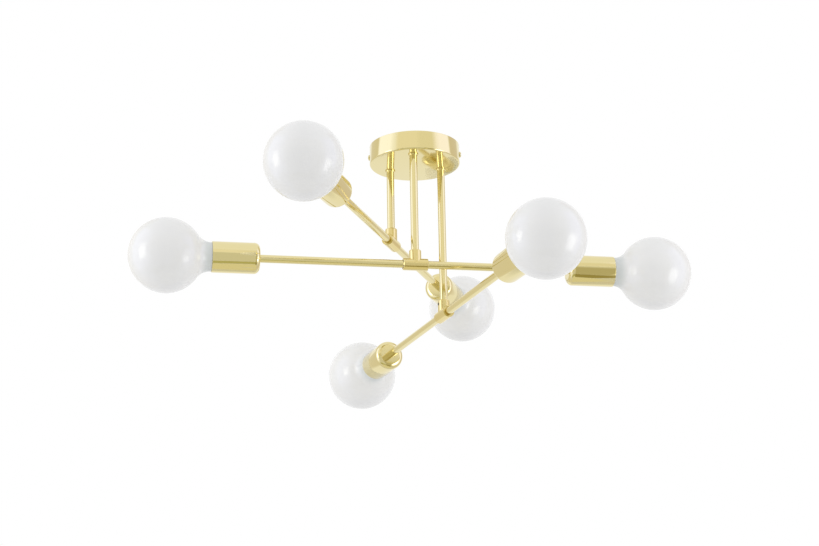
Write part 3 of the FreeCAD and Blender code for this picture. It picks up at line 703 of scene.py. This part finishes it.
# Terminal block: a strip of white nylon, moulded, with a soft grain in its surface. Its sleeves are turned
# from brass and not plated.
plain_brass, tree, shader, place = finish("plain_brass")
marks = placed_group(tree, handling, place, Scale=300)
blended(tree, marks.outputs["Haze"], (0.66, 0.47, 0.20), (0.74, 0.56, 0.27), shader.inputs["Base Color"])
between(tree, marks.outputs["Smudge"], 0.20, 0.38, shader.inputs["Roughness"])
shader.inputs["Metallic"].default_value = 1
white_nylon, tree, shader, place = finish("white_nylon")
marks = placed_group(tree, handling, place, Scale=200)
grain = tree.nodes.new("ShaderNodeTexNoise")
grain.inputs["Scale"].default_value = 2600
tree.links.new(place, grain.inputs["Vector"])
blended(tree, marks.outputs["Haze"], (0.80, 0.80, 0.76), (0.86, 0.86, 0.83), shader.inputs["Base Color"])
between(tree, marks.outputs["Smudge"], 0.38, 0.52, shader.inputs["Roughness"])
raised(tree, grain.outputs["Fac"], 0.00002, shader)

# Wires: cores in soft plastic insulation, brown for live, blue for neutral and green with a yellow stripe
# for earth. The cores in the bars wear white heat-proof sleeving.


def insulation(name, colour, worn):
    """Soft plastic insulation in one colour, a little lighter where it is worn."""
    material, tree, shader, place = finish(name)
    marks = placed_group(tree, handling, place, Scale=300)
    blended(tree, marks.outputs["Smudge"], colour, worn, shader.inputs["Base Color"])
    between(tree, marks.outputs["Haze"], 0.34, 0.50, shader.inputs["Roughness"])
    return material, tree, shader


brown, _, _ = insulation("brown_insulation", (0.13, 0.045, 0.02), (0.17, 0.065, 0.03))
blue, _, _ = insulation("blue_insulation", (0.02, 0.10, 0.42), (0.04, 0.14, 0.48))
white, _, _ = insulation("white_insulation", (0.80, 0.80, 0.77), (0.86, 0.86, 0.84))
green, tree, shader = insulation("green_insulation", (0.03, 0.27, 0.06), (0.04, 0.33, 0.08))
lie = tree.nodes.new("ShaderNodeNewGeometry")
lie_parts = tree.nodes.new("ShaderNodeSeparateXYZ")
stripe = tree.nodes.new("ShaderNodeMath")
stripe.operation = "GREATER_THAN"
stripe.inputs[1].default_value = 0.55
steep = tree.nodes.new("ShaderNodeMath")
steep.operation = "ABSOLUTE"
tree.links.new(lie.outputs["Normal"], lie_parts.inputs["Vector"])
tree.links.new(lie_parts.outputs["Z"], steep.inputs[0])
tree.links.new(steep.outputs["Value"], stripe.inputs[0])
green_part = shader.inputs["Base Color"].links[0].from_socket
striped = tree.nodes.new("ShaderNodeMix")
striped.data_type = "RGBA"
striped.inputs["B"].default_value = (0.80, 0.66, 0.03, 1)
tree.links.new(stripe.outputs["Value"], striped.inputs["Factor"])
tree.links.new(green_part, striped.inputs["A"])
tree.links.new(striped.outputs["Result"], shader.inputs["Base Color"])

# Inner pieces that are kept as they are: each takes the finish that its material slot names, from the
# bracket and its screws to the lampholder bodies, the terminal block and the wires.
finishes = {
    "plated_steel": plated_steel,
    "white_ceramic": white_ceramic,
    "white_nylon": white_nylon,
    "brown_insulation": brown,
    "blue_insulation": blue,
    "green_insulation": green,
    "white_insulation": white,
    "plain_brass": plain_brass,
}
for node in nodes.values():
    for held in node.material_slots:
        if held.material.name in finishes:
            held.material = finishes[held.material.name]

# Floor: a plain pale floor far below the light, as in a room. It fades out into the white background, and
# from below it isn't seen at all.
floor_height = -2.4
floor_reach = 4.0
floor_glow = 0.3
fade_start_share = 0.45
fade_end_share = 0.95
floor_mesh = bpy.data.meshes.new("floor")
floor_mesh.from_pydata(
    [(-floor_reach, -floor_reach, 0), (floor_reach, -floor_reach, 0),
     (floor_reach, floor_reach, 0), (-floor_reach, floor_reach, 0)], [], [(0, 1, 2, 3)])
floor = bpy.data.objects.new("floor", floor_mesh)
bpy.context.scene.collection.objects.link(floor)
floor.location.z = floor_height
pale, tree, shader, place = finish("pale_floor")
shader.inputs["Base Color"].default_value = (0.86, 0.86, 0.86, 1)
shader.inputs["Roughness"].default_value = 0.9
shader.inputs["Specular IOR Level"].default_value = 0.1
shader.inputs["Emission Color"].default_value = (1, 1, 1, 1)
sight = tree.nodes.new("ShaderNodeLightPath")
glow = tree.nodes.new("ShaderNodeMath")
glow.operation = "MULTIPLY"
glow.inputs[1].default_value = floor_glow
tree.links.new(sight.outputs["Is Camera Ray"], glow.inputs[0])
tree.links.new(glow.outputs["Value"], shader.inputs["Emission Strength"])
distance = tree.nodes.new("ShaderNodeVectorMath")
distance.operation = "LENGTH"
tree.links.new(place, distance.inputs[0])
fade = tree.nodes.new("ShaderNodeMapRange")
fade.interpolation_type = "SMOOTHSTEP"
fade.inputs["From Min"].default_value = floor_reach * fade_start_share
fade.inputs["From Max"].default_value = floor_reach * fade_end_share
tree.links.new(distance.outputs["Value"], fade.inputs["Value"])
side_seen = tree.nodes.new("ShaderNodeNewGeometry")
gone = tree.nodes.new("ShaderNodeMath")
gone.operation = "MAXIMUM"
tree.links.new(fade.outputs["Result"], gone.inputs[0])
tree.links.new(side_seen.outputs["Backfacing"], gone.inputs[1])
clear = tree.nodes.new("ShaderNodeBsdfTransparent")
cover = tree.nodes.new("ShaderNodeMixShader")
tree.links.new(gone.outputs["Value"], cover.inputs["Fac"])
tree.links.new(shader.outputs["BSDF"], cover.inputs[1])
tree.links.new(clear.outputs["BSDF"], cover.inputs[2])
tree.links.new(cover.outputs["Shader"], tree.nodes["Material Output"].inputs["Surface"])
floor_mesh.materials.append(pale)

# Light: an even white studio, with a soft lamp at each side of the object at its own height and one above.
# The lamps themselves don't show in reflections, where the cards below stand for them.
studio_light = 0.81
world = bpy.data.worlds.new("studio")
bpy.context.scene.world = world
world.use_nodes = True
tree = world.node_tree
sight = tree.nodes.new("ShaderNodeLightPath")
seen = tree.nodes.new("ShaderNodeMath")
seen.operation = "MAXIMUM"
tree.links.new(sight.outputs["Is Camera Ray"], seen.inputs[0])
tree.links.new(sight.outputs["Is Glossy Ray"], seen.inputs[1])
seen_through = tree.nodes.new("ShaderNodeMath")
seen_through.operation = "MAXIMUM"
tree.links.new(seen.outputs["Value"], seen_through.inputs[0])
tree.links.new(sight.outputs["Is Transmission Ray"], seen_through.inputs[1])
level_of_light = tree.nodes.new("ShaderNodeMapRange")
level_of_light.inputs["To Min"].default_value = studio_light
level_of_light.inputs["To Max"].default_value = 1.0
tree.links.new(seen_through.outputs["Value"], level_of_light.inputs["Value"])
background = tree.nodes["Background"]
background.inputs["Color"].default_value = (1, 1, 1, 1)
tree.links.new(level_of_light.outputs["Result"], background.inputs["Strength"])

light_centre = Vector((0, 0, -0.15))
lamp_distance = 2.0
lamps = {
    "left_lamp": ((-81, -3), (1.0, 1.3), 1.85),
    "right_lamp": ((81, -3), (1.0, 1.3), 1.65),
    "high_lamp": ((-50, 52), (1.5, 1.5), 0.5),
}


def direction(bearing, rise):
    """Unit vector from the object, by the bearing from the camera's side and the height in degrees."""
    turn, lift = math.radians(bearing), math.radians(rise)
    return Vector((math.sin(turn) * math.cos(lift), -math.cos(turn) * math.cos(lift), math.sin(lift)))


for name, (aim, (width, height), glow) in lamps.items():
    light = bpy.data.lights.new(name, "AREA")
    light.shape = "RECTANGLE"
    light.size = width
    light.size_y = height
    light.energy = glow * math.pi * width * height
    lamp = bpy.data.objects.new(name, light)
    lamp.location = light_centre + direction(*aim) * lamp_distance
    lamp.rotation_mode = "QUATERNION"
    lamp.rotation_quaternion = (-direction(*aim)).to_track_quat("-Z", "Y")
    lamp.visible_camera = False
    lamp.visible_glossy = False
    bpy.context.scene.collection.objects.link(lamp)

# Cards: white and grey cards round the studio, with soft edges, which only polished metal and glass show,
# and two small bright ones nearer by, which are the lamps in the globes. Each has its bearings from the
# camera's side, their soft edges, its heights from the object's level, their soft edges, and its colour.
card_distance = 2.2
card_step_inward = 0.01
card_steps = 16
cards = {
    "room_card": ((-47, 27), (5, 8), (-44, 20), (5, 5), (0.745, 0.735, 0.65)),
    "dim_room_card": ((19, 62), (8, 5), (-44, 20), (5, 17), (0.56, 0.52, 0.34)),
    "front_card": ((-47, 62), (5, 5), (15, 42), (5, 5), (0.99, 0.955, 0.86)),
    "front_right_card": ((6, 62), (14, 5), (15, 42), (5, 5), (0.925, 0.895, 0.785)),
    "dark_card": ((-70, 27), (5, 8), (-63, -41), (5, 5), (0.54, 0.52, 0.25)),
    "dark_right_card": ((19, 70), (8, 5), (-66, -39), (5, 5), (0.38, 0.33, 0.13)),
    "floor_card": ((-180, 180), (5, 5), (-90, -60), (5, 5), (0.84, 0.80, 0.60)),
    "left_card": ((-106, -38), (11, 24), (-30, 50), (5, 5), (1.28, 1.33, 1.68)),
    "right_card": ((49, 106), (22, 7), (-30, 50), (5, 5), (1.24, 1.24, 1.62)),
    "left_edge_card": ((-145, -99), (5, 5), (-60, 60), (5, 5), (0.82, 0.78, 0.68)),
    "right_edge_card": ((102, 145), (5, 5), (-60, 60), (5, 5), (0.78, 0.72, 0.66)),
}
lamp_card_distance = 1.24
lamp_cards = {
    "left_lamp_card": ((-76, -54), (5, 5), (-13, 19), (5, 12), (4.4, 4.4, 4.4)),
    "right_lamp_card": ((54, 83), (5, 9), (-33, 3), (8, 8), (4.2, 4.2, 4.2)),
}


def card(name, bearings, soft_sides, rises, soft_rises, colour, distance):
    """A curved card between two bearings and two heights, which fades out at its edges."""
    first, last = bearings
    full = (first + soft_sides[0], last - soft_sides[1])
    columns = [first]
    columns += [full[0] + (full[1] - full[0]) * step / card_steps for step in range(card_steps + 1)]
    columns += [last]
    low, high = rises
    full = (low + soft_rises[0], high - soft_rises[1])
    rows = [low, full[0], (full[0] + full[1]) / 2, full[1], high]
    points = [direction(bearing, rise) * distance + light_centre for bearing in columns for rise in rows]
    faces = []
    for column in range(len(columns) - 1):
        for row in range(len(rows) - 1):
            corner = column * len(rows) + row
            faces.append((corner, corner + len(rows), corner + len(rows) + 1, corner + 1))
    mesh = bpy.data.meshes.new(name)
    mesh.from_pydata(points, [], faces)
    cover = mesh.attributes.new("cover", "FLOAT", "POINT")
    for index, shade in enumerate(cover.data):
        column, row = divmod(index, len(rows))
        shade.value = 0 if column in (0, len(columns) - 1) or row in (0, len(rows) - 1) else 1
    piece = bpy.data.objects.new(name, mesh)
    bpy.context.scene.collection.objects.link(piece)
    material = bpy.data.materials.new(name)
    material.use_nodes = True
    tree = material.node_tree
    tree.nodes.clear()
    edge = tree.nodes.new("ShaderNodeAttribute")
    edge.attribute_name = "cover"
    clear = tree.nodes.new("ShaderNodeBsdfTransparent")
    glow = tree.nodes.new("ShaderNodeEmission")
    glow.inputs["Color"].default_value = (*colour, 1)
    mix = tree.nodes.new("ShaderNodeMixShader")
    end = tree.nodes.new("ShaderNodeOutputMaterial")
    tree.links.new(edge.outputs["Fac"], mix.inputs["Fac"])
    tree.links.new(clear.outputs["BSDF"], mix.inputs[1])
    tree.links.new(glow.outputs["Emission"], mix.inputs[2])
    tree.links.new(mix.outputs["Shader"], end.inputs["Surface"])
    mesh.materials.append(material)
    for ray in ("camera", "diffuse", "transmission", "volume_scatter", "shadow"):
        setattr(piece, "visible_" + ray, False)


for step, (name, card_values) in enumerate(cards.items()):
    card(name, *card_values, card_distance - card_step_inward * step)
for name, card_values in lamp_cards.items():
    card(name, *card_values, lamp_card_distance)

# Camera: a long lens, low in front of the object, as in the photograph.
camera_place = (0.10818, -2.44829, -0.97326)
camera_angles = (108.0726, 0.9872, 3.0726)
camera_lens = 87.888
sensor_width = 36
camera_data = bpy.data.cameras.new("camera")
camera_data.lens = camera_lens
camera_data.sensor_width = sensor_width
camera = bpy.data.objects.new("camera", camera_data)
camera.location = camera_place
camera.rotation_euler = [math.radians(angle) for angle in camera_angles]
bpy.context.scene.collection.objects.link(camera)
bpy.context.scene.camera = camera
bpy.context.scene.view_settings.view_transform = "Standard"
